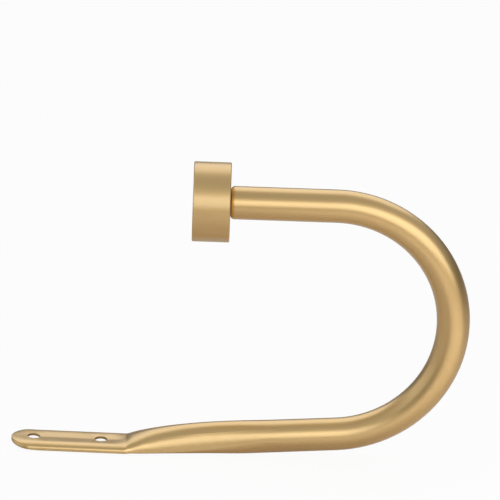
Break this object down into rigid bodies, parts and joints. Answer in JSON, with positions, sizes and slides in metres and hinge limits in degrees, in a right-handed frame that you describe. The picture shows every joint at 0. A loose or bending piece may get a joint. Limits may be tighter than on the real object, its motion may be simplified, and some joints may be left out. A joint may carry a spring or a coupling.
{
  "type": "curtain holdback",
  "caption": "U-bent round tube with a pressed, pierced tab that screws to the wall and a turned disc finial on its free end; holds a drawn curtain back.",
  "frame": {"origin": "in the middle of the tab's sheet, halfway between the two screw holes; the wall is 2.5 mm behind it", "axes": "+X along the wall from the tab towards the bend, +Y across the tab, +Z away from the wall"},
  "size_m": [0.2202, 0.0384, 0.1469],
  "materials": {
    "lacquered_tube": "satin gold",
    "turned_finial": "satin gold",
    "plain_steel": "plain"
  },
  "bodies": {
    "root": {"bent_tube": "lacquered_tube", "tube_insert": "plain_steel", "finial_stud": "plain_steel", "end_finial": "turned_finial"}
  },
  "joints": []
}
